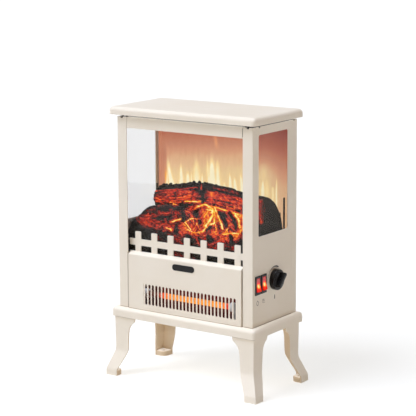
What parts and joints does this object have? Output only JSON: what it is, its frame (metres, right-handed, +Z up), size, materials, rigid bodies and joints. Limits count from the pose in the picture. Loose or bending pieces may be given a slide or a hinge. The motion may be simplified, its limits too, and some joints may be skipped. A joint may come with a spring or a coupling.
{
  "type": "electric fireplace",
  "caption": "Free-standing electric stove heater: glazed flame-effect firebox with logs and picket fence, radiant heater grille below, side switches and knob, on curved legs.",
  "frame": {"origin": "centre of the floor footprint, on the floor under the four feet", "axes": "+Z up, the firebox front faces -Y, +X to the right of a viewer facing the front (the control side)"},
  "size_m": [0.3188, 0.17, 0.483],
  "materials": {
    "cream_enamel": "satin powder coat",
    "cream_moulding": "satin moulding, colour matched to the casing",
    "badge_black": "glossy blank plate",
    "rubber_black": "matt",
    "window_glass": "clear",
    "zinc_steel": "zinc plated",
    "flame_acrylic": "translucent, warm tinted",
    "black_sheet": "matt black",
    "resin_log": "painted resin, charred wood",
    "bright_reflector": "bright rolled",
    "quartz": "fused quartz",
    "heating_wire": "oxidised resistance wire",
    "ceramic_white": "unglazed ceramic look",
    "switch_black": "semi gloss",
    "rocker_red": "translucent red lens",
    "knob_black": "high gloss",
    "nylon_white": "natural nylon",
    "circuit_board": "solder mask",
    "led_lens": "warm lens",
    "component_dark": "moulded cases",
    "gland_black": "nylon",
    "screw_steel": "zinc plated"
  },
  "bodies": {
    "housing": {"right_side_panel": "cream_enamel", "left_side_panel": "cream_enamel", "rear_cover": "cream_enamel", "header_bar": "cream_enamel", "top_deck": "cream_enamel", "top_cover": "cream_enamel", "base_plate": "cream_moulding", "leg_front_right": "cream_moulding", "leg_front_left": "cream_moulding", "leg_rear_right": "cream_moulding", "leg_rear_left": "cream_moulding", "front_panel": "cream_enamel", "picket_fence": "cream_enamel", "badge": "badge_black", "cover_spacers": "rubber_black", "right_glass": "window_glass", "left_glass": "window_glass", "front_glass": "window_glass", "side_glass_clips": "zinc_steel", "hearth_floor": "zinc_steel", "flame_screen": "flame_acrylic", "flame_mask": "black_sheet", "screen_uprights": "black_sheet", "log_set": "resin_log", "heater_reflector": "bright_reflector", "quartz_tube": "quartz", "heating_coil": "heating_wire", "ceramic_end_caps": "ceramic_white", "tube_brackets": "zinc_steel", "thermal_cutout": "zinc_steel", "flame_switch_housing": "switch_black", "heat_switch_housing": "switch_black", "thermostat_body": "switch_black", "thermostat_nut": "zinc_steel", "spindle_motor": "zinc_steel", "motor_bracket": "zinc_steel", "spindle_bracket": "zinc_steel", "spindle_bush": "nylon_white", "led_bracket": "zinc_steel", "flame_light_board": "circuit_board", "flame_leds": "led_lens", "ember_light_board": "circuit_board", "ember_leds": "led_lens", "light_board_spacers": "nylon_white", "driver_board": "circuit_board", "driver_board_spacers": "nylon_white", "driver_components": "component_dark", "terminal_block": "nylon_white", "cord_gland": "gland_black", "gland_nut": "gland_black", "rear_screws": "screw_steel", "base_screws": "screw_steel", "leg_screws": "screw_steel"},
    "flame_rocker_body": {"flame_rocker": "rocker_red"},
    "heat_rocker_body": {"heat_rocker": "rocker_red"},
    "knob_body": {"control_knob": "knob_black", "thermostat_shaft": "zinc_steel"},
    "spindle_body": {"flame_spindle": "bright_reflector"}
  },
  "joints": [
    {"name": "flame_switch_rock", "type": "hinge", "parent": "housing", "child": "flame_rocker_body", "pos_m": [0.1379, -0.0508, 0.1963], "axis": [0, 1, 0], "range_deg": [0, 20]},
    {"name": "heat_switch_rock", "type": "hinge", "parent": "housing", "child": "heat_rocker_body", "pos_m": [0.1379, -0.0325, 0.1963], "axis": [0, 1, 0], "range_deg": [0, 20]},
    {"name": "knob_turn", "type": "hinge", "parent": "housing", "child": "knob_body", "pos_m": [0.15, 0.003, 0.197], "axis": [1, 0, 0], "range_deg": [-90, 180]},
    {"name": "flame_spindle_spin", "type": "hinge", "parent": "housing", "child": "spindle_body", "pos_m": [0, 0.046, 0.203], "axis": [1, 0, 0], "continuous": true}
  ]
}
